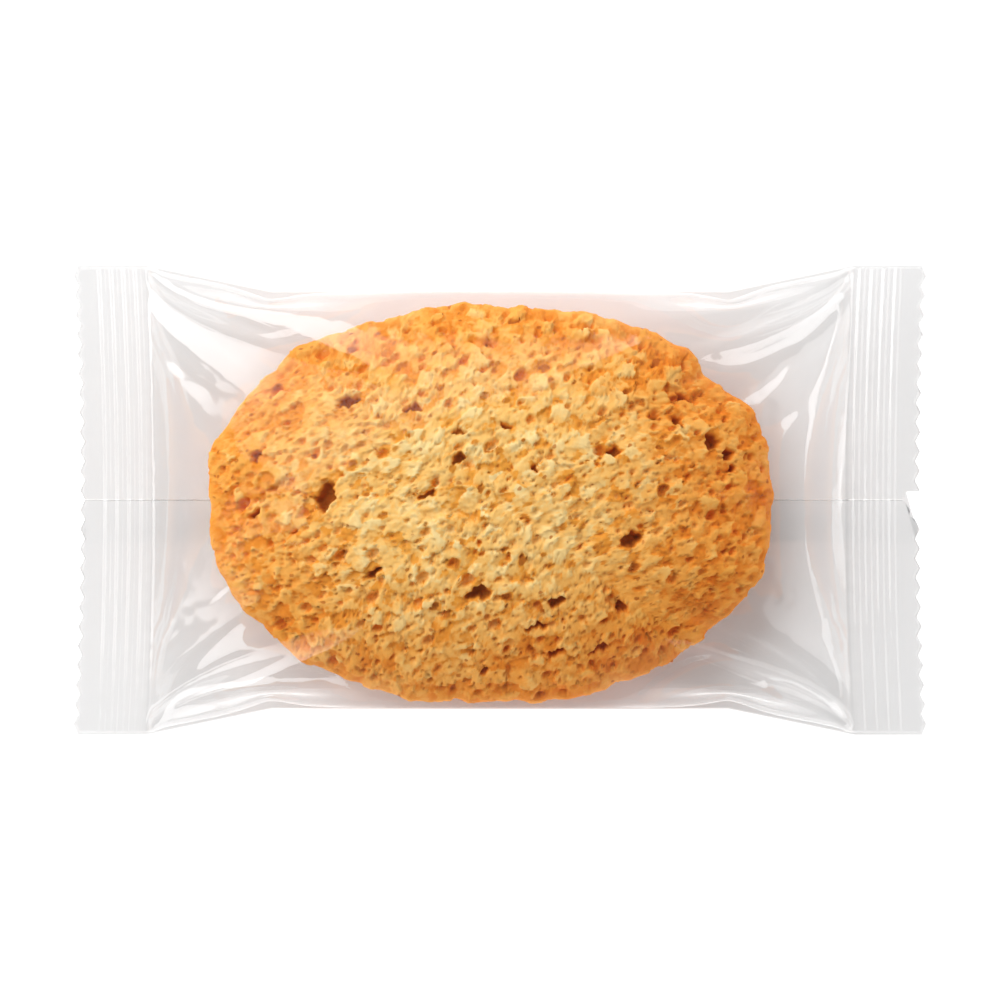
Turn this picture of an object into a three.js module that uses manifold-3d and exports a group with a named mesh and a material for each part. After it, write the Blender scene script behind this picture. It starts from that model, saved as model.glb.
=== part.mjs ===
// A madeleine cake sealed in a clear film pack, lying on its back.
// The pack is a tube of film drawn over the cake, welded along its back and crimped flat at both ends.
// Millimetres: X runs along the pack, Y across it and Z up, with the origin under its centre.
import * as THREE from 'three';
import { mergeVertices } from 'three/addons/utils/BufferGeometryUtils.js';
import Module from 'manifold-3d';

// Driving dimensions
const packLength = 116; // over the tips of both pinked edges
const packHeight = 21;
const flatWidth = 63.4; // of the tube pressed flat, so its girth is twice this
const bodyWidth = 56.2; // of the tube round the cake
const sealLength = 9.8; // of the flat strip at each end
const sealHeight = 7.6; // of the strips over the table
const sealThickness = 0.7;

// Tube between the strips
const halfTube = packLength / 2 - sealLength;
const girdleHeight = 10; // of the tube's widest line, level with the cake's rim
const crownFall = 2.2; // power by which the top falls towards the strips
const bellySink = 0.9; // how far the round belly is pressed flat by the table
const bellyFlat = 22; // from the centre, where the belly starts to rise
const bellyRise = 2; // power by which it rises
const ovalPower = 2.15; // squareness of the section across the cake
const ovalBlunt = 0.62; // fullness of its sides
const waist = { at: 31, depth: 0.9, spread: 3.6 }; // where the sides buckle in beside the cake's corners
const flarePower = 0.9; // how straight the sides run from the waist out to the strips

// Folds from each corner of the pack to the cake's shoulder
const fold = { reach: 21, inset: 9, halfWidth: 4.6, height: 2.9, hang: 1.1, fromEdge: 1 };

// Crimping and pinking
const ridgeCount = 4;
const ridgePitch = 1.63;
const ridgeHeight = 0.34;
const plainMargin = 2.7; // between the outermost ridge and the tips of the teeth
const crimpStart = packLength / 2 - plainMargin - ridgeCount * ridgePitch;
const toothCount = 24;
const toothDepth = 0.68;
const nick = { top: 1.1, bottom: -2.4, depth: 1.9, slant: 1 }; // torn from the right-hand edge

// Back weld, folded over and lying flat under the pack
const finWidth = 5.8;
const finProud = 0.35;

// How the strips settle: their middles are pulled towards the cake and their corners droop
const bow = 1;
const droop = 1.1;
const settleFrom = 0.72; // share of the tube's half length where this starts

// Fineness of the surface
const ringPoints = 52;
const tubeStations = 38;
const endCrowding = 0.4; // share of the stations' spacing that tightens towards the strips
const stepsPerRidge = 4;
const stepsPerTooth = 4;

const wasm = await Module();
wasm.setup();

const { clamp, lerp, smoothstep } = THREE.MathUtils;
const tubeShare = (x) => Math.min(1, Math.abs(x) / halfTube);

// Half the pack's width at x: nearly even round the cake, nipped at the waist, flaring to the strips.
function halfWidth(x) {
  const out = Math.min(Math.abs(x), halfTube);
  const nip = waist.depth * Math.exp(-(((out - waist.at) / waist.spread) ** 2));
  const past = Math.max(0, (out - waist.at) / (halfTube - waist.at));
  return bodyWidth / 2 - nip + ((flatWidth - bodyWidth) / 2) * past ** flarePower;
}

// The widest line's height at x, and how far the top and the belly stand off it.
function heights(x) {
  const share = tubeShare(x);
  const girdle = lerp(girdleHeight, sealHeight, smoothstep(share, 0.3, 1));
  const crown = lerp(packHeight, sealHeight, share ** crownFall);
  const past = Math.max(0, (Math.abs(x) - bellyFlat) / (halfTube - bellyFlat));
  const belly = lerp(-bellySink, sealHeight, Math.min(1, past) ** bellyRise);
  const least = sealThickness / 2;
  return { girdle, up: Math.max(least, crown - girdle), down: Math.max(least, girdle - belly) };
}

// Share of the full height at t, which runs from -1 to 1 across: an oval, a lens, then a flat strip.
function fullness(x, t) {
  const share = tubeShare(x);
  const blunt = lerp(ovalBlunt, 1, smoothstep(share, 0.25, 1));
  const oval = (1 - Math.min(1, Math.abs(t)) ** ovalPower) ** blunt;
  const plate = Math.abs(t) < 1 ? 1 : 0;
  return lerp(oval, plate, smoothstep(share, 0.95, 1));
}

// How far the nearest fold stands out, from 0 to 1: a ridge with sloping sides that dies out at both ends.
function foldShare(x, y) {
  const corner = new THREE.Vector2(halfTube, flatWidth / 2 - fold.fromEdge);
  const run = new THREE.Vector2(-fold.reach, -fold.inset);
  const place = new THREE.Vector2(Math.abs(x), Math.abs(y)).sub(corner);
  const along = clamp(place.dot(run) / run.lengthSq(), 0, 1);
  const off = place.addScaledVector(run, -along).length();
  return Math.sin(Math.PI * along) * Math.max(0, 1 - off / fold.halfWidth);
}

// Height of the crimping at x: flat ridges with sloping sides.
function crimp(x) {
  const along = (Math.abs(x) - crimpStart) / ridgePitch;
  const inside = along > 0 && along < ridgeCount;
  return inside ? ridgeHeight * clamp(1.5 - Math.abs((along % 1) * 4 - 1.5), 0, 1) : 0;
}

// Heights of the top and the belly over a place on the table.
function surfaces(x, y) {
  const { girdle, up, down } = heights(x);
  const t = y / halfWidth(x);
  const full = fullness(x, t);
  const crease = foldShare(x, y) * smoothstep(1 - Math.abs(t), 0, 0.15);
  const ridge = crimp(x);
  const top = girdle + up * full + crease * fold.height + ridge;
  const belly = girdle - down * full - crease * fold.hang + ridge;
  return { top, belly: Math.max(0, belly) };
}

// Bows the strips towards the cake and lets their corners droop.
function settled({ x, y, z }) {
  const share = smoothstep(tubeShare(x), settleFrom, 1);
  const across = (2 * y) / flatWidth;
  const inward = bow * (1 - across ** 2) * share;
  return new THREE.Vector3(x - Math.sign(x) * inward, y, z - droop * across ** 2 * share);
}

// Where the surface is sampled along the pack: closer towards the strips, and on each ridge's edges.
function stations() {
  const past = packLength / 2 + toothDepth;
  const outward = [];
  for (let i = 0; i <= tubeStations / 2; i++) {
    const even = (2 * i) / tubeStations;
    outward.push(halfTube * lerp(even, Math.sin((Math.PI * even) / 2), endCrowding));
  }
  for (let i = 0; i <= ridgeCount * stepsPerRidge; i++) {
    outward.push(crimpStart + (i * ridgePitch) / stepsPerRidge);
  }
  outward.push(past);
  return [...outward.slice(1).reverse().map((x) => -x), ...outward];
}

// A closed surface through equal rings of points, with its first and last ring filled in.
function loft(rings) {
  const size = rings[0].length;
  const points = rings.flat();
  const faces = [];
  for (let i = 0; i + 1 < rings.length; i++) {
    for (let j = 0; j < size; j++) {
      const a = i * size + j;
      const b = i * size + ((j + 1) % size);
      faces.push(a, b, b + size, a, b + size, a + size);
    }
  }
  const last = (rings.length - 1) * size;
  for (let j = 1; j + 1 < size; j++) faces.push(0, j + 1, j, last, last + j, last + j + 1);
  return new THREE.BufferGeometry().setFromPoints(points).setIndex(faces);
}

// The whole pack without its back weld, before its edges are pinked.
function sleeve() {
  const rings = stations().map((x) => {
    const ring = [];
    for (let i = 0; i < ringPoints; i++) {
      const turn = (2 * Math.PI * i) / ringPoints;
      const y = halfWidth(x) * Math.cos(turn);
      const { top, belly } = surfaces(x, y);
      ring.push(new THREE.Vector3(x, y, i <= ringPoints / 2 ? top : belly));
    }
    return ring;
  });
  return loft(rings);
}

// The back weld: a flat band beside the centre line, under the belly and both strips.
function fin() {
  const rings = stations().map((x) => {
    const corners = [[0, true], [-finWidth, true], [-finWidth, false], [0, false]];
    return corners.map(([y, buried]) => {
      const { belly } = surfaces(x, y);
      const z = buried ? belly + sealThickness / 2 : Math.max(0, belly - finProud);
      return new THREE.Vector3(x, y, z);
    });
  });
  return loft(rings);
}

// A tall block with this outline, seen from above.
function tallBlock(outline) {
  const shape = new THREE.Shape(outline.map(([x, y]) => new THREE.Vector2(x, y)));
  const block = new THREE.ExtrudeGeometry(shape, { depth: 2 * packHeight, bevelEnabled: false });
  return block.translate(0, 0, -packHeight / 2);
}

// The pack's outline with both of its ends pinked.
function pinkedBlock() {
  const outline = [];
  const steps = toothCount * stepsPerTooth;
  for (const side of [1, -1]) {
    for (let i = 0; i <= steps; i++) {
      const wave = 0.5 + 0.5 * Math.cos((2 * Math.PI * i) / stepsPerTooth);
      const y = side * (flatWidth + 0.2) * (i / steps - 0.5);
      outline.push([side * (packLength / 2 - toothDepth * wave), y]);
    }
  }
  return tallBlock(outline);
}

function nickBlock() {
  const out = packLength / 2 + 1;
  const deep = packLength / 2 - nick.depth;
  return tallBlock([[out, nick.top], [deep, nick.top], [deep + nick.slant, nick.bottom], [out, nick.bottom]]);
}

// Wraps a closed mesh as a solid that can be joined and cut.
function solid(geometry) {
  const bare = new THREE.BufferGeometry();
  bare.setAttribute('position', geometry.getAttribute('position'));
  bare.setIndex(geometry.index);
  const merged = mergeVertices(bare, 1e-4);
  return new wasm.Manifold(
    new wasm.Mesh({
      numProp: 3,
      vertProperties: merged.attributes.position.array,
      triVerts: new Uint32Array(merged.index.array),
    }),
  );
}

function packGeometry() {
  const whole = solid(sleeve()).add(solid(fin()));
  const trimmed = whole.intersect(solid(pinkedBlock())).subtract(solid(nickBlock()));
  const { numVert, numProp, vertProperties, triVerts } = trimmed.getMesh();
  const points = [];
  for (let i = 0; i < numVert; i++) {
    points.push(settled(new THREE.Vector3().fromArray(vertProperties, i * numProp)));
  }
  const geometry = new THREE.BufferGeometry().setFromPoints(points);
  geometry.setIndex(new THREE.BufferAttribute(triVerts, 1));
  geometry.computeVertexNormals();
  return geometry;
}

const film = new THREE.MeshStandardMaterial({ color: 0xe6e3e0, roughness: 0.12, metalness: 0 });
const pack = new THREE.Mesh(packGeometry(), film);
pack.name = 'sealed_pack';

const madeleinePack = new THREE.Group();
madeleinePack.add(pack);

export default madeleinePack;
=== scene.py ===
import math

import bpy
import mathutils
import numpy as np
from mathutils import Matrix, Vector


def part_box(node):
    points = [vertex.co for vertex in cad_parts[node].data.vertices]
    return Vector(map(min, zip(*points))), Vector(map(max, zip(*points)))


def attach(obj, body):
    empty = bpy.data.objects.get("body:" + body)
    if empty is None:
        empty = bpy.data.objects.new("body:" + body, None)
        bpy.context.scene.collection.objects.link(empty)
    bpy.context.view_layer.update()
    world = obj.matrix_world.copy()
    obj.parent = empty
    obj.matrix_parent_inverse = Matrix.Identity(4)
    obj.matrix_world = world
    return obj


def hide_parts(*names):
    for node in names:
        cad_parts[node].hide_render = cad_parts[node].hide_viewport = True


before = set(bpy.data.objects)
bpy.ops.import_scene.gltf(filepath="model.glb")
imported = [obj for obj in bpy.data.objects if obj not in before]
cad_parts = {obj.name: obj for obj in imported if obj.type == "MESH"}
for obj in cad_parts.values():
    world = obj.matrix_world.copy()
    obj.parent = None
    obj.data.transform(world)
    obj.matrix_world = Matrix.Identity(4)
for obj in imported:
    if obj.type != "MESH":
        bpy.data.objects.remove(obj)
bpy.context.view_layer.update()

mm = 0.001  # every size below is in millimetres and is turned into metres with this
tiny = 1e-9  # keeps divisions by nothing from failing
node = "sealed_pack"
low, high = (np.array(corner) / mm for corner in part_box(node))

# The pack's plain form, which the film starts from
pack = {
    "halfLength": 58.0,  # to the tips of the pinked ends
    "flatWidth": high[1] - low[1],
    "height": high[2],
    "bodyWidth": 56.2,
    "sealLength": 9.8,
    "sealHeight": 7.6,
    "girdle": 10.0,  # height of the tube's widest line
    "girdleFrom": 0.3,  # share of the tube's half length from which it falls to the strips
    "crownFall": 2.2,  # power by which the top falls towards the strips
    "bellySink": 0.9,  # how far the round belly is pressed flat by the table
    "bellyFlat": 17.0,  # from the centre, where the belly starts to rise
    "bellyRise": 1.5,  # power by which it rises
    "squareness": 2.3,  # of the section across, and how full its sides are
    "bluntness": 0.46,
    "bluntFrom": 0.25,
    "waist": (31.0, 0.9, 3.6),  # where the sides buckle in, by how much, over what length
    "flare": 0.9,  # power by which they widen from there to the strips
    "bow": 1.0,  # how far the strips' middles are pulled towards the cake
    "droop": 1.1,  # how far their corners sink
    "settleFrom": 0.72,  # share of the tube's half length where both begin
    "finePoints": 721,  # round a section, before they are spaced evenly
}
halfTube = pack["halfLength"] - pack["sealLength"]
spreadToStrips = (pack["flatWidth"] - pack["bodyWidth"]) / 2
print("frame loaded, pack", np.round(high - low, 1), "mm")


# One output of a node tree, so that maths on it reads as maths
class Wire:
    def __init__(self, tree, socket):
        self.tree = tree
        self.socket = socket

    def maths(self, operation, first, second):
        return self.tree.add("ShaderNodeMath", {"operation": operation}, {0: first, 1: second})

    def other(self, name):
        return Wire(self.tree, self.socket.node.outputs[name])

    def __add__(self, value):
        return self.maths("ADD", self, value)

    def __radd__(self, value):
        return self.maths("ADD", value, self)

    def __sub__(self, value):
        return self.maths("SUBTRACT", self, value)

    def __rsub__(self, value):
        return self.maths("SUBTRACT", value, self)

    def __mul__(self, value):
        return self.maths("MULTIPLY", self, value)

    def __rmul__(self, value):
        return self.maths("MULTIPLY", value, self)

    def __truediv__(self, value):
        return self.maths("DIVIDE", self, value)

    def __pow__(self, value):
        return self.maths("POWER", self, value)

    def top(self, value):
        return self.maths("MAXIMUM", self, value)

    def low(self, value):
        return self.maths("MINIMUM", self, value)

    def size(self):
        return self.tree.add("ShaderNodeMath", {"operation": "ABSOLUTE"}, {0: self})

    # Runs up and down between 0 and this height
    def zigzag(self, height):
        return self.maths("PINGPONG", self, height)

    # 0 below start and 1 past end, with a soft step between them
    def step(self, start, end):
        sockets = {"Value": self, "From Min": start, "From Max": end}
        return self.tree.add("ShaderNodeMapRange", {"interpolation_type": "SMOOTHSTEP"}, sockets)


class Tree:
    def __init__(self, nodeTree):
        self.nodeTree = nodeTree

    def add(self, kind, settings=None, sockets=None, output=0):
        made = self.nodeTree.nodes.new(kind)
        for name, value in (settings or {}).items():
            setattr(made, name, value)
        for name, value in (sockets or {}).items():
            if isinstance(value, Wire):
                self.nodeTree.links.new(value.socket, made.inputs[name])
            else:
                made.inputs[name].default_value = value
        outputs = made.outputs
        return Wire(self, outputs[output] if len(outputs) else made.inputs[0])

    def vector(self, operation, first, second):
        place = "Scale" if operation == "SCALE" else 1
        return self.add("ShaderNodeVectorMath", {"operation": operation}, {0: first, place: second})

    def colours(self, share, first, second, blend="MIX"):
        settings = {"data_type": "RGBA", "blend_type": blend, "clamp_factor": True}
        return self.add("ShaderNodeMix", settings, {0: share, 6: first, 7: second}, 2)

    def attribute(self, name):
        return self.add("ShaderNodeAttribute", {"attribute_name": name}, output="Fac")

    # The same in a geometry tree
    def named(self, name):
        return self.add("GeometryNodeInputNamedAttribute", {"data_type": "FLOAT"}, {"Name": name})


def newMaterial(name):
    material = bpy.data.materials.new(name)
    material.use_nodes = True
    material.node_tree.nodes.clear()
    return material, Tree(material.node_tree)


def smoothstep(x, start, end):
    t = np.clip((x - start) / (end - start), 0, 1)
    return t * t * (3 - 2 * t)


def newObject(name, points, faces, attributes=None):
    mesh = bpy.data.meshes.new(name)
    mesh.from_pydata((points * mm).tolist(), [], faces)
    mesh.shade_smooth()
    for label, values in (attributes or {}).items():
        mesh.attributes.new(label, "FLOAT", "POINT").data.foreach_set("value", values.astype(np.float32))
    made = bpy.data.objects.new(name, mesh)
    bpy.context.collection.objects.link(made)
    return made


# Puts a geometry tree on an object, sets its inputs and keeps the result as a plain mesh
def applyTree(made, group, values):
    modifier = made.modifiers.new(group.name, "NODES")
    modifier.node_group = group
    for item in group.interface.items_tree:
        if item.item_type == "SOCKET" and item.in_out == "INPUT" and item.name in values:
            modifier[item.identifier] = values[item.name]
    graph = bpy.context.evaluated_depsgraph_get()
    result = bpy.data.meshes.new_from_object(made.evaluated_get(graph), depsgraph=graph)
    made.modifiers.clear()
    made.data = result
    result.shade_smooth()


def newGeometryTree(name, inputs):
    group = bpy.data.node_groups.new(name, "GeometryNodeTree")
    group.interface.new_socket("Geometry", in_out="INPUT", socket_type="NodeSocketGeometry")
    for label, kind in inputs.items():
        group.interface.new_socket(label, in_out="INPUT", socket_type="NodeSocket" + kind)
    group.interface.new_socket("Geometry", in_out="OUTPUT", socket_type="NodeSocketGeometry")
    tree = Tree(group)
    return group, tree, tree.add("NodeGroupInput")


def finishTree(tree, geometry, material):
    real = tree.add("GeometryNodeRealizeInstances", {}, {"Geometry": geometry})
    painted = tree.add("GeometryNodeSetMaterial", {}, {"Geometry": real, "Material": material})
    tree.add("NodeGroupOutput", {}, {"Geometry": painted})


# Cake: an oval sponge with a scalloped rim, a domed porous top and a ribbed shell side below
cake = {
    "centre": (-1.36, 0.0),
    "halfLength": 38.0,
    "halfWidth": 27.3,
    "rimHeight": 10.2,
    "dome": 10.1,  # height over the rim
    "domeFall": (2.2, 0.75),  # powers of the oval by which it falls to the rim
    "shell": 9.7,  # depth below the rim
    "shellFall": (3.0, 0.6),
    "sideBulge": 1 / 30,  # share by which each facet of the rim bows out
    "rimSoftness": 4,  # degrees over which its corners are rounded
    "rimUneven": 0.16,
    "rimWaves": ((23, 1.0), (41, 0.8), (67, 0.6), (97, 0.4)),  # of that, as waves round the rim and share
    "rimShift": 1.7,  # by which each of these waves is turned, for every wave round the rim
    "holeFade": (0.93, 1),  # shares of the way to the rim over which holes in the top fade out
    "faces": (320, 230),  # of the top, along and across
    "ribApex": 52.0,  # the shell's ribs fan out from this far left of the centre
    "ribAngle": 4.2,
    "ribDepth": 0.8,
    "ribSharpness": 1.5,
    "ribStart": (0.2, 0.6),  # shares of the way to the rim over which they begin
    "ribEnd": (0.86, 1),
}
# Corners of the rim seen from above, from the cake's centre
rimCorners = [
    (-4.8, 26.8), (14.9, 25.1), (27.2, 20.4), (28.9, 16.6), (35.0, 12.9), (37.8, 6.8), (38.0, -6.1),
    (35.3, -12.9), (30.0, -17.4), (25.3, -21.7), (14.9, -25.8), (9.9, -27.2), (-10.0, -27.2), (-14.9, -25.8),
    (-25.8, -21.6), (-35.0, -12.8), (-37.6, -6.7), (-38.0, 6.7), (-34.2, 12.3), (-26.6, 20.5), (-19.7, 23.1),
]
# Holes large enough to be told apart: place from the cake's centre, half length, half width, turn and depth
cavities = [
    (-4.1, 5.8, 0.95, 0.85, 20, 2.0), (-22.0, 0.4, 2.1, 1.1, 65, 2.2), (-31.6, 6.0, 1.3, 0.35, 55, 1.2),
    (-31.6, -1.6, 1.0, 0.5, 45, 1.6), (-19.1, 13.2, 1.8, 0.6, 20, 1.6), (2.3, 10.0, 1.1, 0.45, -25, 1.2),
    (-10.3, 12.4, 1.2, 0.5, 10, 1.2), (-4.1, 9.1, 1.0, 0.45, 10, 1.1), (6.1, 4.2, 0.6, 0.5, 60, 1.2),
    (-8.4, 0.7, 1.3, 0.5, 20, 1.2), (16.6, 6.5, 0.9, 0.7, 40, 1.6), (26.1, 14.1, 1.2, 0.55, -35, 1.7),
    (25.3, 10.7, 1.0, 0.6, -50, 1.4), (30.0, 8.0, 1.1, 1.0, 30, 1.8), (32.2, 6.2, 1.2, 0.6, -60, 1.6),
    (-1.4, -12.5, 1.9, 0.9, 10, 2.2), (19.0, -5.4, 1.9, 0.9, 30, 2.2), (9.0, -13.6, 1.2, 0.7, 30, 1.7),
    (6.1, -17.1, 1.9, 0.4, 10, 1.2), (17.7, -14.4, 1.2, 0.5, 20, 1.5), (8.7, -20.8, 1.3, 0.5, 15, 1.4),
    (14.9, -20.2, 1.7, 0.45, 25, 1.2), (-15.6, -9.9, 1.1, 0.6, 35, 1.5), (32.6, 4.1, 0.7, 0.4, 70, 1.3),
]
# Their walls, and the waves that make them uneven: height, radians for each mm along x and y, and shift
cavityWall = {
    "slope": (0.55, 1.15),  # shares of a hole's half size over which it rises
    "wavesX": ((0.22, 1.3, 2.9, 0), (0.12, -2.0, 6.1, 0)),
    "wavesY": ((0.22, 2.6, -1.1, 1.0), (0.12, 5.7, 2.3, 0)),
}


# Radius of the rim at evenly spaced angles: the corners joined by bowed facets, then rounded
def rimTable(count=720, perFacet=40):
    corners = np.array(rimCorners)
    following = np.roll(corners, -1, axis=0)
    share = np.linspace(0, 1, perFacet, endpoint=False)[None, :, None]
    bowed = corners[:, None] * (1 - share) + following[:, None] * share
    bowed = bowed * (1 + cake["sideBulge"] * share * (1 - share))
    bowed = bowed.reshape(-1, 2)
    angle = np.arctan2(bowed[:, 1], bowed[:, 0])
    order = np.argsort(angle)
    even = np.linspace(-np.pi, np.pi, count, endpoint=False)
    radius = np.interp(even, angle[order], np.hypot(*bowed.T)[order], period=2 * np.pi)
    for waves, part in cake["rimWaves"]:
        radius += cake["rimUneven"] * part * np.sin(waves * even + cake["rimShift"] * waves)
    window = np.hanning(cake["rimSoftness"] * count // 360 + 2)
    spare = len(window)
    padded = np.concatenate([radius[-spare:], radius, radius[:spare]])
    return even, np.convolve(padded, window / window.sum(), "same")[spare:-spare]


rimAngles, rimRadii = rimTable()


def rimRadius(x, y):
    return np.interp(np.arctan2(y, x), rimAngles, rimRadii, period=2 * np.pi)


# A square grid pressed into a disc without a pole, then stretched out to the rim
def discGrid(across, along):
    a, b = np.meshgrid(np.linspace(-1, 1, across + 1), np.linspace(-1, 1, along + 1), indexing="ij")
    wide = np.abs(a) > np.abs(b)
    longer = np.where(wide, a, b)
    ratio = np.where(wide, b, a) / np.where(longer == 0, 1, longer)
    turn = np.where(wide, ratio * np.pi / 4, np.pi / 2 - ratio * np.pi / 4)
    x, y = cake["halfLength"] * longer * np.cos(turn), cake["halfWidth"] * longer * np.sin(turn)
    share = np.abs(longer)
    reach = rimRadius(x, y) * share / np.maximum(np.hypot(x, y), tiny)
    return x * reach, y * reach, share


# Adds the waves' heights at x, y to start
def wavy(start, x, y, waves):
    for height, alongX, alongY, shift in waves:
        start = start + height * np.sin(alongX * x + alongY * y + shift)
    return start


def cavityDepth(x, y):
    wavyX = wavy(x, x, y, cavityWall["wavesX"])
    wavyY = wavy(y, x, y, cavityWall["wavesY"])
    deepest = np.zeros_like(x)
    for middleX, middleY, long, wide, turn, depth in cavities:
        c, s = math.cos(math.radians(turn)), math.sin(math.radians(turn))
        along = (wavyX - middleX) * c + (wavyY - middleY) * s
        across = (wavyY - middleY) * c - (wavyX - middleX) * s
        off = np.hypot(along / long, across / wide)
        deepest = np.maximum(deepest, depth * (1 - smoothstep(off, *cavityWall["slope"])))
    return deepest


# Where the dome has torn as it rose: a long wavy step, with the crumb above it a little lower
tear = {
    "from": (-22.0, 0.6),
    "to": (28.0, -7.2),
    "depth": 0.55,
    "edge": 0.7,
    "fade": 4.5,
    "ends": 0.15,  # share of its length over which it fades out at either end
    "sway": 1.1,
    "waves": ((1, 0.35, 0, 1.0), (0.5, 0.9, 0, 0), (0.3, 2.3, 1, 0)),
}


def tearDepth(x, y):
    (startX, startY), (endX, endY) = tear["from"], tear["to"]
    share = (x - startX) / (endX - startX)
    sway = tear["sway"] * wavy(0, x, y, tear["waves"])
    above = y - (startY + (endY - startY) * share + sway)
    along = smoothstep(share, 0, tear["ends"]) * (1 - smoothstep(share, 1 - tear["ends"], 1))
    across = smoothstep(above, 0, tear["edge"]) * np.exp(-np.maximum(above, 0) / tear["fade"])
    return tear["depth"] * along * across


# Faces of a grid of points, each with four corners
def gridFaces(index):
    corners = index[:-1, :-1], index[1:, :-1], index[1:, 1:], index[:-1, 1:]
    return np.stack(corners, -1).reshape(-1, 4).tolist()


# The shell's faces are twice as wide as the top's, so at the rim they take in the points between corners
def shellFaces(lower, rim):
    lastA, lastB = lower.shape[0] - 2, lower.shape[1] - 2
    faces = []
    for i in range(lastA + 1):
        for j in range(lastB + 1):
            face = [lower[i, j]]
            if i == 0:
                face.append(rim[0, 2 * j + 1])
            face.append(lower[i, j + 1])
            if j == lastB:
                face.append(rim[2 * i + 1, -1])
            face.append(lower[i + 1, j + 1])
            if i == lastA:
                face.append(rim[-1, 2 * j + 1])
            face.append(lower[i + 1, j])
            if j == 0:
                face.append(rim[2 * i + 1, 0])
            faces.append([int(k) for k in face])
    return faces


# The cake before its crumb is shaped. Its rimShare runs from 0 in the middle of the top to 1 at the rim
# and on to 2 in the middle of the shell.
def cakeBody():
    x, y, share = discGrid(*cake["faces"])
    power, blunt = cake["domeFall"]
    topZ = cake["rimHeight"] + cake["dome"] * (1 - np.minimum(share, 1) ** power) ** blunt
    power, blunt = cake["shellFall"]
    u, v, shellShare = x[::2, ::2], y[::2, ::2], share[::2, ::2]
    rib = np.arctan2(v, u + cake["ribApex"]) / math.radians(cake["ribAngle"])
    groove = (1 - np.abs(np.cos(np.pi * rib))) ** cake["ribSharpness"]
    fade = smoothstep(shellShare, *cake["ribStart"]) * (1 - smoothstep(shellShare, *cake["ribEnd"]))
    under = cake["rimHeight"] - cake["shell"] * (1 - np.minimum(shellShare, 1) ** power) ** blunt
    shell = np.stack([u, v, under + cake["ribDepth"] * groove * fade], -1)[1:-1, 1:-1]
    index = np.arange(x.size).reshape(x.shape)
    lower = index[::2, ::2].copy()
    lower[1:-1, 1:-1] = x.size + np.arange(shell[..., 0].size).reshape(shell.shape[:2])
    faces = gridFaces(index) + shellFaces(lower, index)
    points = np.concatenate([np.stack([x, y, topZ], -1).reshape(-1, 3), shell.reshape(-1, 3)])
    points[:, :2] += cake["centre"]
    spots = np.concatenate([share.ravel(), (2 - shellShare)[1:-1, 1:-1].ravel()])
    holes, torn = np.zeros(len(points)), np.zeros(len(points))
    holes[: x.size] = (cavityDepth(x, y) * (1 - smoothstep(share, *cake["holeFade"]))).ravel()
    torn[: x.size] = tearDepth(x, y).ravel()
    return newObject("madeleine", points, faces, {"rimShare": spots, "cavity": holes, "torn": torn})


sponge = {
    "Flake Tilt": 0.40,
    "Flake Step": 0.37,
    "Wide Swell": 0.9,
    "Large Pores": 1.0,
    "Middle Pores": 0.62,
    "Small Pores": 0.37,
    "Pore Depth": 1.3,
    "Lean": 32.0,  # degrees by which flakes and pores lean from the cake's length
    "Seed": 3.7,
}
poresPerMm = {"Large Pores": 0.33, "Middle Pores": 0.62, "Small Pores": 1.3}
pore = {
    "bias": 0.6,  # power of the chance that picks its radius
    "least": 0.0001,
    "wall": 0.45,  # share of its radius that slopes
}
flakeSizes = {"coarse": 1.9, "fine": 0.85}
spongeRelief = {
    "smallPores": 0.8,  # share of their depth that adds to the larger ones
    "fineTilt": 0.8,  # shares of tilt and step that fine flakes have
    "fineStep": 0.4,
    "rimCalm": (0.94, 1.0),  # shares of the way to the rim over which it grows calm
    "poresAtRim": 0.25,
    "flakesAtRim": 0.3,
    "shellCalm": (1.0, 1.15),
    "shellSmooth": 0.85,
    "swellPerMm": 0.085,
    "swellMiddle": 0.75,  # noise at which the swell neither lifts nor sinks the crumb
    "flakeMiddle": 0.12,  # and the same for a flake's height
    "flakeTop": 0.16,  # the most that a flake stands out
    "top": 0.18,  # the most that anything stands out, so that it stays clear of the film
}


# Bubbles cut open by the surface: how deep the surface falls at each point
def bubbles(tree, point, perMm, radius, depth):
    cell = tree.add("ShaderNodeTexVoronoi", {}, {"Vector": point, "Scale": perMm}, "Distance")
    chance = tree.add("ShaderNodeSeparateXYZ", {}, {"Vector": cell.other("Color")})
    size = radius * chance ** pore["bias"] + pore["least"]
    inside = (size - cell / perMm) / size
    return inside.step(0, pore["wall"]) * size * depth


# Flakes of crumb: every cell is a small facet with a slope and a height of its own
def flakes(tree, point, size, tilt, rise):
    cell = tree.add("ShaderNodeTexVoronoi", {}, {"Vector": point, "Scale": 1 / size}, "Distance")
    slope = tree.vector("SUBTRACT", cell.other("Color"), (0.5, 0.5, 0.5))
    away = tree.vector("SUBTRACT", point, cell.other("Position"))
    lean = tree.vector("DOT_PRODUCT", away, slope).other("Value")
    level = tree.add("ShaderNodeSeparateXYZ", {}, {"Vector": slope})
    return lean * tilt + level * rise


streak = {"drift": 1.1, "driftPerMm": 0.6, "stretch": (0.74, 1.05, 1.0)}


# Crumb lies in streaks that lean to one side: bends, turns and stretches a place, in millimetres, to match
def streaked(tree, point, seed, lean):
    seeded = tree.vector("ADD", point, seed)
    noise = {"Vector": seeded, "Scale": streak["driftPerMm"], "Detail": 3}
    drift = tree.vector("SUBTRACT", tree.add("ShaderNodeTexNoise", {}, noise, "Color"), (0.5,) * 3)
    bent = tree.vector("ADD", seeded, tree.vector("SCALE", drift, streak["drift"]))
    leaning = {"Vector": bent, "Angle": lean * -math.radians(1)}
    turned = tree.add("ShaderNodeVectorRotate", {"rotation_type": "Z_AXIS"}, leaning)
    return tree.vector("MULTIPLY", turned, streak["stretch"])


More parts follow.
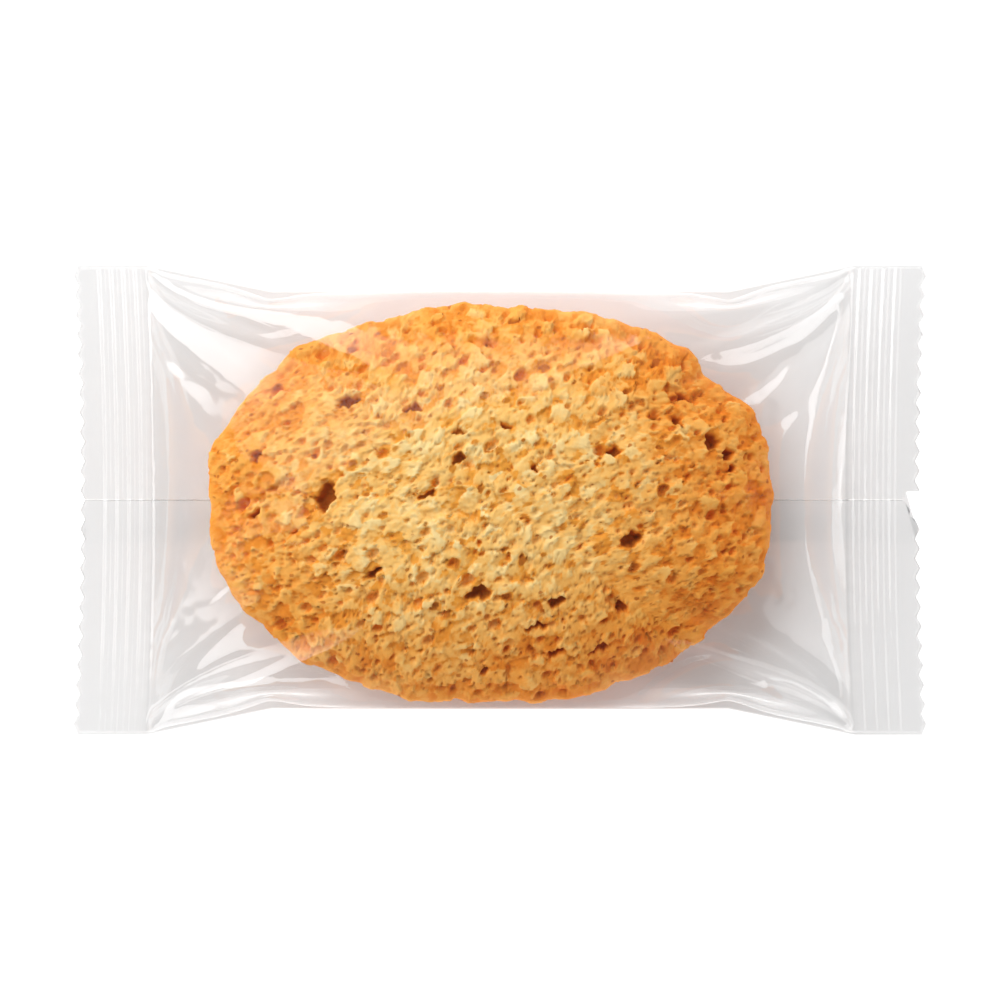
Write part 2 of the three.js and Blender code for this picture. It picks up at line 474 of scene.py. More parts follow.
def spongeTree():
    kinds = {name: "Float" for name in sponge}
    group, tree, given = newGeometryTree("spongeRelief", {**kinds, "Material": "Material"})
    place = tree.vector("SCALE", tree.add("GeometryNodeInputPosition"), 1 / mm)
    stretched = streaked(tree, place, given.other("Seed"), given.other("Lean"))
    depth = given.other("Pore Depth")
    sizes = ((perMm, given.other(name)) for name, perMm in poresPerMm.items())
    large, middle, small = (bubbles(tree, stretched, perMm, radius, depth) for perMm, radius in sizes)
    look = spongeRelief
    pores = large.top(middle) + small * look["smallPores"]
    share, cavity = tree.named("rimShare"), tree.named("cavity")
    inner = 1 - share.step(*look["rimCalm"])
    outer = 1 - share.step(*look["shellCalm"]) * look["shellSmooth"]
    pit = (pores * (look["poresAtRim"] + (1 - look["poresAtRim"]) * inner) * outer).top(cavity)
    tilt, rise = given.other("Flake Tilt"), given.other("Flake Step")
    coarse = flakes(tree, stretched, flakeSizes["coarse"], tilt, rise)
    fine = flakes(tree, stretched, flakeSizes["fine"], tilt * look["fineTilt"], rise * look["fineStep"])
    crumb = (coarse + fine) * (look["flakesAtRim"] + (1 - look["flakesAtRim"]) * inner) * outer
    wide = {"Vector": place, "Scale": look["swellPerMm"], "Detail": 2}
    swell = tree.add("ShaderNodeTexNoise", {}, wide) - look["swellMiddle"]
    swell = swell * given.other("Wide Swell") * inner
    lift = ((crumb - look["flakeMiddle"]).low(look["flakeTop"]) + swell).low(look["top"])
    normal = tree.add("GeometryNodeInputNormal")
    offset = tree.vector("SCALE", normal, (lift - pit - tree.named("torn")) * mm)
    moved = tree.add("GeometryNodeSetPosition", {}, {"Geometry": given.other("Geometry"), "Offset": offset})
    for name, value in (("pit", pit), ("crumb", crumb)):
        kept = {"Geometry": moved, "Name": name, "Value": value}
        moved = tree.add("GeometryNodeStoreNamedAttribute", {"data_type": "FLOAT", "domain": "POINT"}, kept)
    finishTree(tree, moved, given.other("Material"))
    return group


crumbLook = {
    "pale": (1.0, 0.745, 0.33, 1),  # tops of the flakes, paler as painted light
    "gold": (1.0, 0.59, 0.17, 1),
    "amber": (0.90, 0.38, 0.045, 1),  # hollows between them: painted shade, warmed as if light glowed through the crumb
    "deep": (0.50, 0.15, 0.010, 1),  # bottoms of the pores: painted shade
    "browned": (0.91, 0.61, 0.25, 1),  # what these are multiplied by at the rim
    "bakedShadedTint": (0.99, 0.80, 0.50, 1),  # once more on the lower right, away from the key light: partly longer baking, partly painted shade
    "bakedShadedSide": (0.8, -0.6, 0.0),  # direction towards that side
    "shell": (0.62, 0.42, 0.30, 1),  # and below the rim, where it lay against the tin
    "patchesPerMm": 0.16,
    "grainPerMm": 2.2,
    # Small dark dots of painted shade, for pores too small for the mesh
    "poreShadeDotsPerMm": 0.8,
    "poreShadeDotEdge": (0.14, 0.27),
    "poreShadeDotChance": (0.5, 0.9),
    "poreShadeDots": 0.8,
    "crumbWeight": 2.1,  # how much each of these changes the level, which picks the colour
    "pitWeight": 1.2,
    "grainWeight": 0.5,
    "patchWeight": 0.5,
    "rimWeight": 0.3,  # lower towards the rim, so more of it is amber
    "levelDown": 0.06,
    "rimAt": (0.35, 1.0),
    "goldAt": (-0.75, -0.15),  # levels over which amber turns to gold
    "paleAt": (-0.15, 0.6),
    "deepAt": (0.22, 1.2),  # depths of pore over which it turns to painted shade
    "deepMost": 0.95,
    "patchy": 0.4,  # share of the browning that comes in patches
    "brownedAt": (0.3, 1.02),
    "brownedPatch": (0.35, 0.65),
    "bakedShadedTintAt": (-5, 34),  # millimetres towards that side
    "bakedShadedTintPatch": (0.3, 0.6),
    "shellAt": (1.0, 1.08),
    "roughness": 0.8,
    "gloss": 0.25,
    "relief": 0.09,  # height of the finest grain
}


# Browns a colour by this share, as baking does; on the lower right the same darkening is also painted shade
def browned(tree, share, body, by):
    return tree.colours(share, body, tree.colours(1.0, body, by, "MULTIPLY"))


def spongeMaterial():
    material, tree = newMaterial("goldenSponge")
    look = crumbLook
    point = tree.vector("SCALE", tree.add("ShaderNodeTexCoord", output="Object"), 1 / mm)
    share, pit, crumb = (tree.attribute(name) for name in ("rimShare", "pit", "crumb"))
    wide = {"Vector": point, "Scale": look["patchesPerMm"], "Detail": 3, "Roughness": 0.6}
    patches = tree.add("ShaderNodeTexNoise", {}, wide)
    fine = {"Vector": point, "Scale": look["grainPerMm"], "Detail": 2, "Roughness": 0.65}
    grain = tree.add("ShaderNodeTexNoise", {}, fine)
    leaning = streaked(tree, point, (sponge["Seed"],) * 3, sponge["Lean"])
    # Dark dots: painted shade of pores too small for the mesh
    spots = {"Vector": leaning, "Scale": look["poreShadeDotsPerMm"]}
    poreShadeDot = tree.add("ShaderNodeTexVoronoi", {}, spots, "Distance")
    chance = tree.add("ShaderNodeSeparateXYZ", {}, {"Vector": poreShadeDot.other("Color")})
    poreShadeMask = (1 - poreShadeDot.step(*look["poreShadeDotEdge"])) * chance.step(*look["poreShadeDotChance"])
    # The level picks the colour: random tone from grain and patches, with painted light and shade by height,
    # higher crumb paler and lower crumb and pores amber
    level = crumb * look["crumbWeight"] - pit * look["pitWeight"]
    level = level + (grain - 0.5) * look["grainWeight"] + (patches - 0.5) * look["patchWeight"]
    level = level - share.step(*look["rimAt"]) * look["rimWeight"] - look["levelDown"]
    body = tree.colours(level.step(*look["goldAt"]), look["amber"], look["gold"])
    body = tree.colours(level.step(*look["paleAt"]), body, look["pale"])
    # Pore bottoms and dots turn dark: painted shade
    poreShadeShare = (pit.step(*look["deepAt"]) + poreShadeMask * look["poreShadeDots"]).low(look["deepMost"])
    body = tree.colours(poreShadeShare, body, look["deep"])
    patchy, even = look["patchy"], 1 - look["patchy"]
    baked = share.step(*look["brownedAt"]) * (even + patchy * patches.step(*look["brownedPatch"]))
    body = browned(tree, baked, body, look["browned"])
    # Darker towards the lower right, away from the key light: partly longer baking, partly painted shade
    toSide = tree.vector("DOT_PRODUCT", point, look["bakedShadedSide"]).other("Value")
    bakedShadedShare = toSide.step(*look["bakedShadedTintAt"]) * (even + patchy * patches.step(*look["bakedShadedTintPatch"]))
    body = browned(tree, bakedShadedShare, body, look["bakedShadedTint"])
    body = browned(tree, share.step(*look["shellAt"]), body, look["shell"])
    relief = {"Strength": 1.0, "Distance": look["relief"] * mm, "Height": grain}
    sockets = {"Base Color": body, "Normal": tree.add("ShaderNodeBump", {}, relief)}
    sockets.update({"Roughness": look["roughness"], "Specular IOR Level": look["gloss"]})
    surface = tree.add("ShaderNodeBsdfPrincipled", {}, sockets)
    tree.add("ShaderNodeOutputMaterial", {}, {"Surface": surface})
    return material


madeleine = cakeBody()
applyTree(madeleine, spongeTree(), {**sponge, "Material": spongeMaterial()})
print("cake made,", len(madeleine.data.polygons), "faces")


# Film: a tube of fixed girth, relaxed over the cake by moving its points until no thread is stretched
film = {
    "around": 144,
    "along": 100,
    "length": 98.2,  # of the film between the two crimped strips
    "rounds": 600,
    "push": 0.0001,  # outward nudge of the air inside, each round
    "stiffness": 1.0,  # against bending
    "shear": 0.35,
    "drag": 0.9,  # share of each point's speed that is kept
    "sweeps": 2,  # in each round
    "hold": 0.1,  # how firmly the sides keep their straight lines
    "holdWidth": 2.0,
    "reach": 3.0,  # furthest that a point may move from the pack's plain form
    "gap": 0.25,  # between the film and the cake's smooth form
    "furthestOut": 0.5,  # that the cake pushes a point in one round
    "floor": 0.3,  # lowest that it hangs over the table
    "unevenness": 0.02,
    "seed": 4,
    "sheet": 0.06,  # half the distance between the two layers of a strip
}


# One section of the plain pack at x, as points spaced evenly round it, starting at the +Y side
def plainSection(x, count):
    turn = np.linspace(0, 2 * np.pi, pack["finePoints"])
    out = min(abs(x), halfTube)
    at, depth, spread = pack["waist"]
    nip = depth * math.exp(-(((out - at) / spread) ** 2))
    flare = spreadToStrips * max(0, (out - at) / (halfTube - at)) ** pack["flare"]
    share = out / halfTube
    fall = smoothstep(share, pack["girdleFrom"], 1)
    girdle = np.interp(fall, [0, 1], [pack["girdle"], pack["sealHeight"]])
    crown = pack["height"] + (pack["sealHeight"] - pack["height"]) * share ** pack["crownFall"]
    rise = max(0, (out - pack["bellyFlat"]) / (halfTube - pack["bellyFlat"])) ** pack["bellyRise"]
    belly = -pack["bellySink"] + (pack["sealHeight"] + pack["bellySink"]) * rise
    blunt = pack["bluntness"] + (1 - pack["bluntness"]) * smoothstep(share, pack["bluntFrom"], 1)
    full = (1 - np.minimum(1, np.abs(np.cos(turn))) ** pack["squareness"]) ** blunt
    y = (pack["bodyWidth"] / 2 - nip + flare) * np.cos(turn)
    up, down = (max(film["sheet"], off) for off in (crown - girdle, girdle - belly))
    z = np.where(np.sin(turn) >= 0, girdle + up * full, np.maximum(film["floor"], girdle - down * full))
    length = np.concatenate([[0], np.cumsum(np.hypot(np.diff(y), np.diff(z)))])
    side = len(turn) // 2
    halves = [np.linspace(0, length[side], count // 2, endpoint=False)]
    halves.append(np.linspace(length[side], length[-1], count // 2, endpoint=False))
    even = np.concatenate(halves)
    return np.interp(even, length, y), np.interp(even, length, z)


# Bows the ends towards the cake and lets their corners droop
def settle(points):
    share = smoothstep(np.abs(points[..., 0]) / halfTube, pack["settleFrom"], 1)
    across = points[..., 1] / (pack["flatWidth"] / 2)
    points[..., 0] -= np.sign(points[..., 0]) * pack["bow"] * (1 - across**2) * share
    points[..., 2] -= pack["droop"] * across**2 * share
    return points


def plainTube():
    tube = np.zeros((film["along"] + 1, film["around"], 3))
    for i, x in enumerate(np.linspace(-halfTube, halfTube, film["along"] + 1)):
        tube[i, :, 0] = x
        tube[i, :, 1], tube[i, :, 2] = plainSection(x, film["around"])
    return settle(tube)


# How far each point lies outside the cake's smooth form, and the direction straight out of it
def offCake(points):
    offset = points - np.array([*cake["centre"], cake["rimHeight"]])
    x, y, z = np.moveaxis(offset, -1, 0)
    radius = rimRadius(x, y)
    least, leastShare = 1e-6, 1e-3  # keep the powers and divisions finite at the centre
    out = np.maximum(np.hypot(x, y), least)
    above = z >= 0
    height = np.where(above, cake["dome"], cake["shell"])
    powerOut = np.where(above, cake["domeFall"][0], cake["shellFall"][0])
    powerUp = 1 / np.where(above, cake["domeFall"][1], cake["shellFall"][1])
    share, lift = (np.maximum(off, leastShare) for off in (out / radius, np.abs(z) / height))
    level = share**powerOut + lift**powerUp - 1
    sideways = powerOut * share ** (powerOut - 1) / radius
    upward = powerUp * lift ** (powerUp - 1) / height * np.sign(z)
    slope = np.stack([sideways * x / out, sideways * y / out, upward], -1)
    steep = np.maximum(np.linalg.norm(slope, axis=-1), least)
    return level / steep, slope / steep[..., None]


# Moves the points that have sunk too close to the cake back out
def clearCake(points):
    distance, outward = offCake(points)
    return np.clip(film["gap"] - distance, 0, film["furthestOut"])[..., None] * outward


# Draws two sets of points together or apart until each pair is at its rest distance
def pull(first, second, weightA, weightB, rest, strength=1.0):
    gap = second - first
    length = np.sqrt((gap * gap).sum(-1, keepdims=True))
    both = np.maximum(weightA + weightB, tiny)
    move = gap * (strength * (length - rest) / np.maximum(length * both, tiny))
    first += move * weightA
    second -= move * weightB


def relaxFilm():
    start = plainTube()
    around = film["around"]
    wide, long = 2 * pack["flatWidth"] / around, film["length"] / film["along"]
    loose = np.ones((film["along"] + 1, around, 1))
    loose[0] = loose[-1] = 0
    noise = np.random.default_rng(film["seed"]).normal(0, film["unevenness"], start.shape)
    points = start + loose * noise
    speed = np.zeros_like(points)
    column = np.arange(around)
    toSide = np.abs((column + around // 4) % (around // 2) - around // 4) * wide
    hold = film["hold"] * np.exp(-((toSide / film["holdWidth"]) ** 2))
    rings = [(column[k::2], (column[k::2] + 1) % around) for k in (0, 1)]
    pairs = [np.concatenate([column[k::4], column[k + 1 :: 4]]) for k in (0, 2)]
    for _ in range(film["rounds"]):
        before = points.copy()
        lengthwise = np.zeros_like(points)
        lengthwise[1:-1] = points[2:] - points[:-2]
        outward = np.cross(np.roll(points, -1, 1) - np.roll(points, 1, 1), lengthwise)
        outward /= np.maximum(np.linalg.norm(outward, axis=-1, keepdims=True), tiny)
        points += loose * (film["drag"] * speed + film["push"] * outward)
        for _ in range(film["sweeps"]):
            for here, there in rings:
                first, second = points[:, here], points[:, there]
                pull(first, second, loose[:, here], loose[:, there], wide)
                points[:, here], points[:, there] = first, second
            for k in (0, 1):
                count = len(points[k + 1 :: 2])
                first, second = points[k:-1:2][:count], points[k + 1 :: 2]
                weightA, weightB = loose[k:-1:2][:count], loose[k + 1 :: 2]
                pull(first, second, weightA, weightB, long)
                for turn in (1, -1):
                    second = np.roll(points[k + 1 :: 2], -turn, 1)
                    pull(first, second, weightA, weightB, math.hypot(wide, long), film["shear"])
                    points[k + 1 :: 2] = np.roll(second, turn, 1)
        for here in pairs:
            there = (here + 2) % around
            first, second = points[:, here], points[:, there]
            pull(first, second, loose[:, here], loose[:, there], 2 * wide, film["stiffness"])
            points[:, here], points[:, there] = first, second
        for k in range(4):
            count = len(points[k + 2 :: 4])
            first, second = points[k:-2:4][:count], points[k + 2 :: 4]
            pull(first, second, loose[k:-2:4][:count], loose[k + 2 :: 4], 2 * long, film["stiffness"])
        points += loose * clearCake(points)
        points[..., 2] = np.maximum(points[..., 2], film["floor"])
        points[..., 1] += hold * (start[..., 1] - points[..., 1])
        moved = points - start
        far = np.linalg.norm(moved, axis=-1, keepdims=True)
        points = start + moved * np.minimum(1, film["reach"] / np.maximum(far, tiny))
        speed = (points - before) * loose
    return points


# Doubles the points along one axis of a grid, on smooth curves through the old ones
def refine(grid, axis, closed):
    grid = np.moveaxis(grid, axis, 0)
    if closed:
        before, after, beyond = np.roll(grid, 1, 0), np.roll(grid, -1, 0), np.roll(grid, -2, 0)
    else:
        padded = np.concatenate([2 * grid[:1] - grid[1:2], grid, 2 * grid[-1:] - grid[-2:-1]])
        grid, before, after, beyond = padded[1:-2], padded[:-3], padded[2:-1], padded[3:]
    middle = (9 * (grid + after) - before - beyond) / 16
    both = np.stack([grid, middle], 1).reshape(-1, *grid.shape[1:])
    if not closed:
        both = np.concatenate([both, padded[-2:-1]])
    return np.moveaxis(both, 0, axis)


# Crimped strips: flat at first, with the place along and across them kept for the tree that shapes them
crimp = {
    "Ridge Pitch": 1.63,
    "Ridge Height": 0.26,
    "Ridge Count": 4.0,
    "Plain Margin": 2.7,
    "Tooth Count": 24.0,
    "Tooth Depth": 0.65,
    "Ripple": 0.10,  # unevenness of the film between the strips
}
crimpDetail = {
    "soft": 0.05,  # share of a ridge over which the crimping begins and ends
    "least": 0.4,  # share of its height where a ridge is lowest, and how much the noise adds
    "uneven": 1.2,
    "unevenPerMm": 0.16,
    "ripplesPerMm": 0.4,
    "rippleFrom": (-0.5, -0.9),  # places along by which the film counts as between the strips
}
stripRows = {"inner": 2, "perRidge": 8, "outer": 6}
ridged = pack["halfLength"] - crimp["Plain Margin"]
firstRidge = ridged - crimp["Ridge Count"] * crimp["Ridge Pitch"]


def stripPlaces():
    inner = np.linspace(halfTube, firstRidge, stripRows["inner"] + 1)[1:]
    ridges = np.linspace(firstRidge, ridged, int(crimp["Ridge Count"]) * stripRows["perRidge"] + 1)[1:]
    outer = np.linspace(ridged, pack["halfLength"], stripRows["outer"] + 1)[1:]
    return np.concatenate([inner, ridges, outer])


# One strip: rings of both layers, laid flat at the height of the tube's end
def strip(side, endRing):
    rings = []
    for x in stripPlaces():
        ring = endRing.copy()
        ring[:, 0] = endRing[:, 0] + side * (x - halfTube)
        rings.append(ring)
    return np.array(rings)


def crimpTree():
    kinds = {name: "Float" for name in crimp}
    group, tree, given = newGeometryTree("crimpAndPink", {**kinds, "Material": "Material"})
    along, across, side = (tree.named(name) for name in ("stripAlong", "stripAcross", "stripSide"))
    pitch, count = given.other("Ridge Pitch"), given.other("Ridge Count")
    ridge = along / pitch
    phase = tree.add("ShaderNodeMath", {"operation": "FRACT"}, {0: ridge})
    shape = (1.5 - (phase * 4.0 - 1.5).size()).step(0, 1)  # a flat top between two sloping sides
    soft = crimpDetail["soft"]
    inside = ridge.step(0, soft) * (1 - ridge.step(count - soft, count))
    place = tree.vector("SCALE", tree.add("GeometryNodeInputPosition"), 1 / mm)
    uneven = {"Vector": place, "Scale": crimpDetail["unevenPerMm"], "Detail": 3}
    share = crimpDetail["least"] + crimpDetail["uneven"] * tree.add("ShaderNodeTexNoise", {}, uneven)
    height = shape * inside * given.other("Ridge Height") * share
    wave = (across * given.other("Tooth Count")).zigzag(0.5)
    margin = ((along - pitch * count) / given.other("Plain Margin")).step(0.0, 1.0)
    pinked = (1 - wave * 2.0) * given.other("Tooth Depth") * margin
    ripples = {"Vector": place, "Scale": crimpDetail["ripplesPerMm"], "Detail": 1}
    ripple = tree.add("ShaderNodeTexNoise", {}, ripples)
    rippled = (ripple - 0.5) * given.other("Ripple") * along.step(*crimpDetail["rippleFrom"])
    move = {"X": pinked * side * -1.0 * mm, "Z": (height + rippled) * mm}
    offset = tree.add("ShaderNodeCombineXYZ", {}, move)
    moved = tree.add("GeometryNodeSetPosition", {}, {"Geometry": given.other("Geometry"), "Offset": offset})
    finishTree(tree, moved, given.other("Material"))
    return group


filmLook = {
    "tint": (0.999, 0.999, 0.999, 1),
    "wetted": 0.84,  # share of the gloss that is lost where the buttery crumb touches the film
    "near": (0.7, 4.0),  # distances from the cake over which that fades out
    "welded": 0.7,  # how far two layers that are welded to one lose it too
    "shine": (1.0, 1.0, 1.0, 1),
    "roughness": 0.09,
    "facing": 0.09,  # share of light mirrored by film seen square on
    "grazing": 0.9,  # and how much more when seen edge on
    "sharpness": 4,  # power by which it grows towards that
}


def filmMaterial():
    material, tree = newMaterial("clearFilm")
    slant = tree.add("ShaderNodeLayerWeight", {}, {"Blend": 0.5}, "Facing")
    touch = tree.attribute("touch")
    mirrored = slant ** filmLook["sharpness"] * filmLook["grazing"] + filmLook["facing"]
    share = mirrored * (1 - touch * filmLook["wetted"])
    sockets = {"Color": filmLook["shine"], "Roughness": filmLook["roughness"]}
    shine = tree.add("ShaderNodeBsdfAnisotropic", {}, sockets)
    clear = tree.add("ShaderNodeBsdfTransparent", {}, {"Color": filmLook["tint"]})
    mixed = tree.add("ShaderNodeMixShader", {}, {0: share, 1: clear, 2: shine})
    tree.add("ShaderNodeOutputMaterial", {}, {"Surface": mixed})
    return material


# Torn nick in the right-hand edge
nick = {"top": 1.1, "bottom": -2.4, "depth": 1.9, "slant": 1.0}


# The film as rings of points from one pinked edge to the other, with the nick cut out of the last ones
def filmRings():
    tube = refine(refine(relaxFilm(), 0, False), 1, True)
    rings = np.concatenate([strip(-1, tube[0])[::-1], tube, strip(1, tube[-1])])
    places = stripPlaces()
    edge = rings[-1, :, 1]
    cut = np.clip((nick["top"] - edge) / (nick["top"] - nick["bottom"]), 0, 1)
    inNick = (edge < nick["top"]) & (edge > nick["bottom"])
    depth = np.where(inNick, nick["depth"] - nick["slant"] * cut, 0)
    outer = 1 - (places[-1] - places) / crimp["Plain Margin"]
    rings[-len(places) :, :, 0] -= np.clip(outer, 0, 1)[:, None] * depth[None]
    return rings


# What the tree that crimps and pinks the strips reads: across runs from 0 to 1 over each layer
def stripSpots(rows, across, touching):
    places = stripPlaces() - firstRidge
    along, side = np.full(rows, -1.0), np.zeros(rows)
    along[: len(places)], along[-len(places) :] = places[::-1], places
    side[: len(places)], side[-len(places) :] = -1, 1
    inStrip = np.abs(side)[:, None]
    return {
        "stripAlong": np.repeat(along, len(across)),
        "stripSide": np.repeat(side, len(across)),
        "stripAcross": np.tile(across, rows),
        "touch": (inStrip * filmLook["welded"] + (1 - inStrip) * touching).ravel(),
    }


# Four-cornered faces between neighbouring rings, each ring a closed loop of the given points
def ringFaces(index):
    here, there = index[:-1], index[1:]
    return np.stack([here, np.roll(here, -1, 1), np.roll(there, -1, 1), there], -1).reshape(-1, 4)


# The sleeve's skin: its two layers are joined along both pinked edges
def filmSkin(rings):
    rows, around = rings.shape[:2]
    column = np.arange(around)
    mirrored = np.minimum(column, around - column)
    index = np.arange(rows * around).reshape(rows, around)
    index[0], index[-1] = index[0][mirrored], index[-1][mirrored]
    faces = [list(dict.fromkeys(face)) for face in ringFaces(index).tolist()]
    touching = 1 - smoothstep(offCake(rings)[0], *filmLook["near"])
    spots = stripSpots(rows, mirrored / (around / 2), touching)
    used, renumbered = np.unique(np.concatenate([np.array(face) for face in faces]), return_inverse=True)
    count = np.cumsum([0] + [len(face) for face in faces])
    faces = [renumbered[a:b].tolist() for a, b in zip(count[:-1], count[1:]) if b - a > 2]
    kept = {name: value[used] for name, value in spots.items()}
    return newObject("filmSleeve", rings.reshape(-1, 3)[used], faces, kept)


# Back weld: a narrow flap lying flat under the pack, with a milky fused bead along its fold
weld = {
    "width": 5.8,
    "thickness": 0.1,
    "under": 0.14,  # how far it lies below the film
    "bead": 0.11,  # radius of the bead
    "beadPoints": 8,
    "points": 12,  # across the flap
    "touch": 1.2,  # so high that all its gloss is lost
}
fusedLook = {
    "colour": (0.98, 0.97, 0.96, 1),
    "roughness": 0.35,
    "inStrips": 1.0,  # how milky it is in the crimped strips
    "between": 0.25,  # and between them
}


# A closed band that follows the film's belly: across is each point's place from the fold, lift its height
def bandUnder(rings, name, across, lift):
    rows, around = rings.shape[:2]
    points = np.zeros((rows, len(across), 3))
    for row, ring in zip(points, rings):
        lower = np.concatenate([ring[around // 2 :], ring[:1]])
        row[:, 0] = np.interp(across, lower[:, 1], lower[:, 0])
        row[:, 1] = across
        row[:, 2] = np.interp(across, lower[:, 1], lower[:, 2]) - weld["under"] + lift
    index = np.arange(rows * len(across)).reshape(rows, len(across))
    faces = ringFaces(index).tolist() + [index[0][::-1].tolist(), index[-1].tolist()]
    spots = stripSpots(rows, 0.5 - across / pack["flatWidth"], np.zeros((rows, len(across))))
    spots["touch"] = np.full(rows * len(across), weld["touch"])
    return newObject(name, points.reshape(-1, 3), faces, spots)


def backWeld(rings):
    off = np.linspace(0, weld["width"], weld["points"])
    half = np.full(len(off), weld["thickness"] / 2)
    return bandUnder(rings, "backWeld", np.concatenate([-off, -off[::-1]]), np.concatenate([half, -half]))


def weldBead(rings):
    turn = np.linspace(0, -2 * np.pi, weld["beadPoints"], endpoint=False)
    return bandUnder(rings, "weldBead", weld["bead"] * np.cos(turn), weld["bead"] * np.sin(turn))


def fusedMaterial():
    material, tree = newMaterial("fusedFilm")
    more = fusedLook["inStrips"] - fusedLook["between"]
    milky = tree.attribute("stripSide").size() * more + fusedLook["between"]
    sockets = {"Base Color": fusedLook["colour"], "Roughness": fusedLook["roughness"], "Alpha": milky}
    surface = tree.add("ShaderNodeBsdfPrincipled", {}, sockets)
    tree.add("ShaderNodeOutputMaterial", {}, {"Surface": surface})
    return material


rings = filmRings()
print("film relaxed over the cake")
clearFilm, fusedFilm = filmMaterial(), fusedMaterial()
filmPieces = ((filmSkin(rings), clearFilm), (backWeld(rings), clearFilm), (weldBead(rings), fusedFilm))
for piece, material in filmPieces:
    applyTree(piece, crimpTree(), {**crimp, "Material": material})
    print(piece.name, "made,", len(piece.data.polygons), "faces")

for piece, finish in ((madeleine, "sponge_cake"), *((piece, "clear_film") for piece, _ in filmPieces)):
    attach(piece, "root")
    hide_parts(node)

# Studio: a bright white table under a dim ceiling, with three soft lights and bright walls round it. The
# table glows outside the pack's outline, painted light that washes out the pack's shadow there
studio = {
    "lens": 120.0,
    "sensor": 36.0,
    "furthest": 10.0,  # metres that the camera sees
    "framed": 135.83,  # width of the picture, at this height over the table
    "level": 8.0,
    "table": (0.93, 0.93, 0.93, 1),
    "tableRoughness": 0.9,
    "tableSide": 2400.0,
    "glow": 0.9,  # how strongly the table glows outside the pack: painted light over the pack's shadow
    "stripGlow": 0.06,  # and, more faintly, under its strips
    "beyond": 1.018,  # how much larger the pack's outline falls on the table, seen from the camera
    "ceiling": (0.28, 0.28, 0.28, 1),
    "walls": (1.0, 1.0, 1.0, 1),
    "horizon": (0.12, 0.65),  # heights between which the walls turn into the ceiling
}
# Millimetres over which the glow sets in at each edge, and the share of the nick's width at its two ends
glowEdges = {"teeth": (-0.15, 0.25), "sides": (0.0, 0.5), "nick": (-0.1, 0.25), "strips": (-11.0, -8.0)}
nickEnds = 0.05
# Turned from +X and lifted over the table by so many degrees, each a metre from the pack's centre
softboxes = [
    {"name": "keyLight", "turn": 130, "lift": 43, "size": (1.20, 0.75), "power": 8.5},
    {"name": "leftLight", "turn": 184, "lift": 43, "size": (0.16, 0.40), "power": 0.45},
    {"name": "rightLight", "turn": 8, "lift": 28, "size": (0.90, 0.45), "power": 1.3},
]


def lightUp():
    for box in softboxes:
        lamp = bpy.data.lights.new(box["name"], "AREA")
        lamp.shape = "RECTANGLE"
        lamp.size, lamp.size_y = box["size"]
        lamp.energy = box["power"]
        made = bpy.data.objects.new(box["name"], lamp)
        turn, lift = math.radians(box["turn"]), math.radians(box["lift"])
        out = math.cos(lift)
        away = mathutils.Vector((math.cos(turn) * out, math.sin(turn) * out, math.sin(lift)))
        made.location = away
        made.rotation_euler = (-away).to_track_quat("-Z", "Y").to_euler()
        bpy.context.collection.objects.link(made)
    world = bpy.data.worlds.new("studioWorld")
    world.use_nodes = True
    world.node_tree.nodes.clear()
    tree = Tree(world.node_tree)
    towards = tree.add("ShaderNodeTexCoord", output="Generated")
    height = tree.add("ShaderNodeSeparateXYZ", {}, {"Vector": towards}, "Z")
    shade = tree.colours(height.step(*studio["horizon"]), studio["walls"], studio["ceiling"])
    background = tree.add("ShaderNodeBackground", {}, {"Color": shade})
    tree.add("ShaderNodeOutputWorld", {}, {"Surface": background})
    bpy.context.scene.world = world


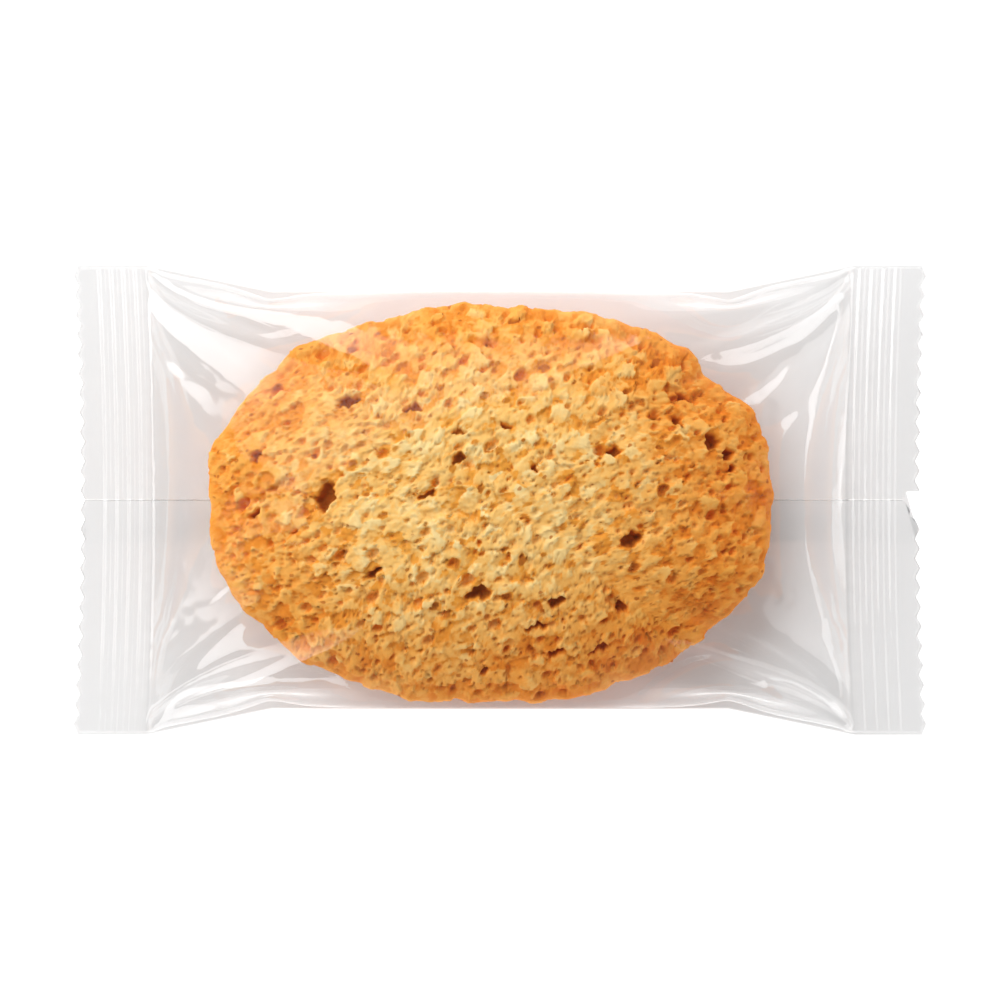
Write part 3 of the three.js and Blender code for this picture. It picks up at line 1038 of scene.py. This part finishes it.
# Where the table glows, painted light that washes out the pack's shadow: outside the pinked ends, the long
# sides and the nick, as the camera sees them, and faintly under the strips
def shadowHidingGlow(tree):
    place = tree.vector("SCALE", tree.add("ShaderNodeTexCoord", output="Object"), 1 / mm)
    split = tree.add("ShaderNodeSeparateXYZ", {}, {"Vector": place})
    plainX, plainY = (split.other(axis) / studio["beyond"] for axis in "XY")
    x, y = plainX.size(), plainY.size()
    flare = ((x - pack["waist"][0]) / (halfTube - pack["waist"][0])).top(0).low(1)
    beside = y - (flare * spreadToStrips + pack["bodyWidth"] / 2)
    ends = pack["halfLength"] - pack["bow"] + (y / (pack["flatWidth"] / 2)) ** 2 * pack["bow"]
    wave = ((0.5 - plainY / pack["flatWidth"]) * crimp["Tooth Count"]).zigzag(0.5)
    past = x - ends + (1 - wave * 2.0) * crimp["Tooth Depth"]
    down = (nick["top"] - plainY) / (nick["top"] - nick["bottom"])
    torn = plainX - down * nick["slant"] - (pack["halfLength"] - pack["bow"] - nick["depth"])
    between = down.step(-nickEnds, nickEnds) * (1 - down.step(1 - nickEnds, 1 + nickEnds))
    inNick = torn.step(*glowEdges["nick"]) * between
    outside = past.step(*glowEdges["teeth"]).top(beside.step(*glowEdges["sides"])).top(inNick)
    return (outside * studio["glow"]).top(past.step(*glowEdges["strips"]) * studio["stripGlow"])


def layTable():
    half = studio["tableSide"] / 2
    corners = np.array([(-half, -half, 0), (half, -half, 0), (half, half, 0), (-half, half, 0)])
    table = newObject("table", corners, [[0, 1, 2, 3]])
    material, tree = newMaterial("whiteTable")
    # Emission outside the pack's outline: painted light that hides the pack's shadow on the table
    glow = tree.colours(shadowHidingGlow(tree), (0, 0, 0, 1), (1, 1, 1, 1))
    sockets = {"Base Color": studio["table"], "Roughness": studio["tableRoughness"]}
    sockets.update({"Emission Color": glow, "Emission Strength": 1.0})
    surface = tree.add("ShaderNodeBsdfPrincipled", {}, sockets)
    tree.add("ShaderNodeOutputMaterial", {}, {"Surface": surface})
    table.data.materials.append(material)


def setCamera():
    data = bpy.data.cameras.new("photoCamera")
    data.lens = studio["lens"]
    data.sensor_width = studio["sensor"]
    data.clip_end = studio["furthest"]
    made = bpy.data.objects.new("photoCamera", data)
    away = studio["framed"] * studio["lens"] / data.sensor_width + studio["level"]
    made.location = (0, 0, away * mm)
    bpy.context.collection.objects.link(made)
    bpy.context.scene.camera = made
    bpy.context.scene.view_settings.view_transform = "Standard"


lightUp()
layTable()
setCamera()
print("studio set")
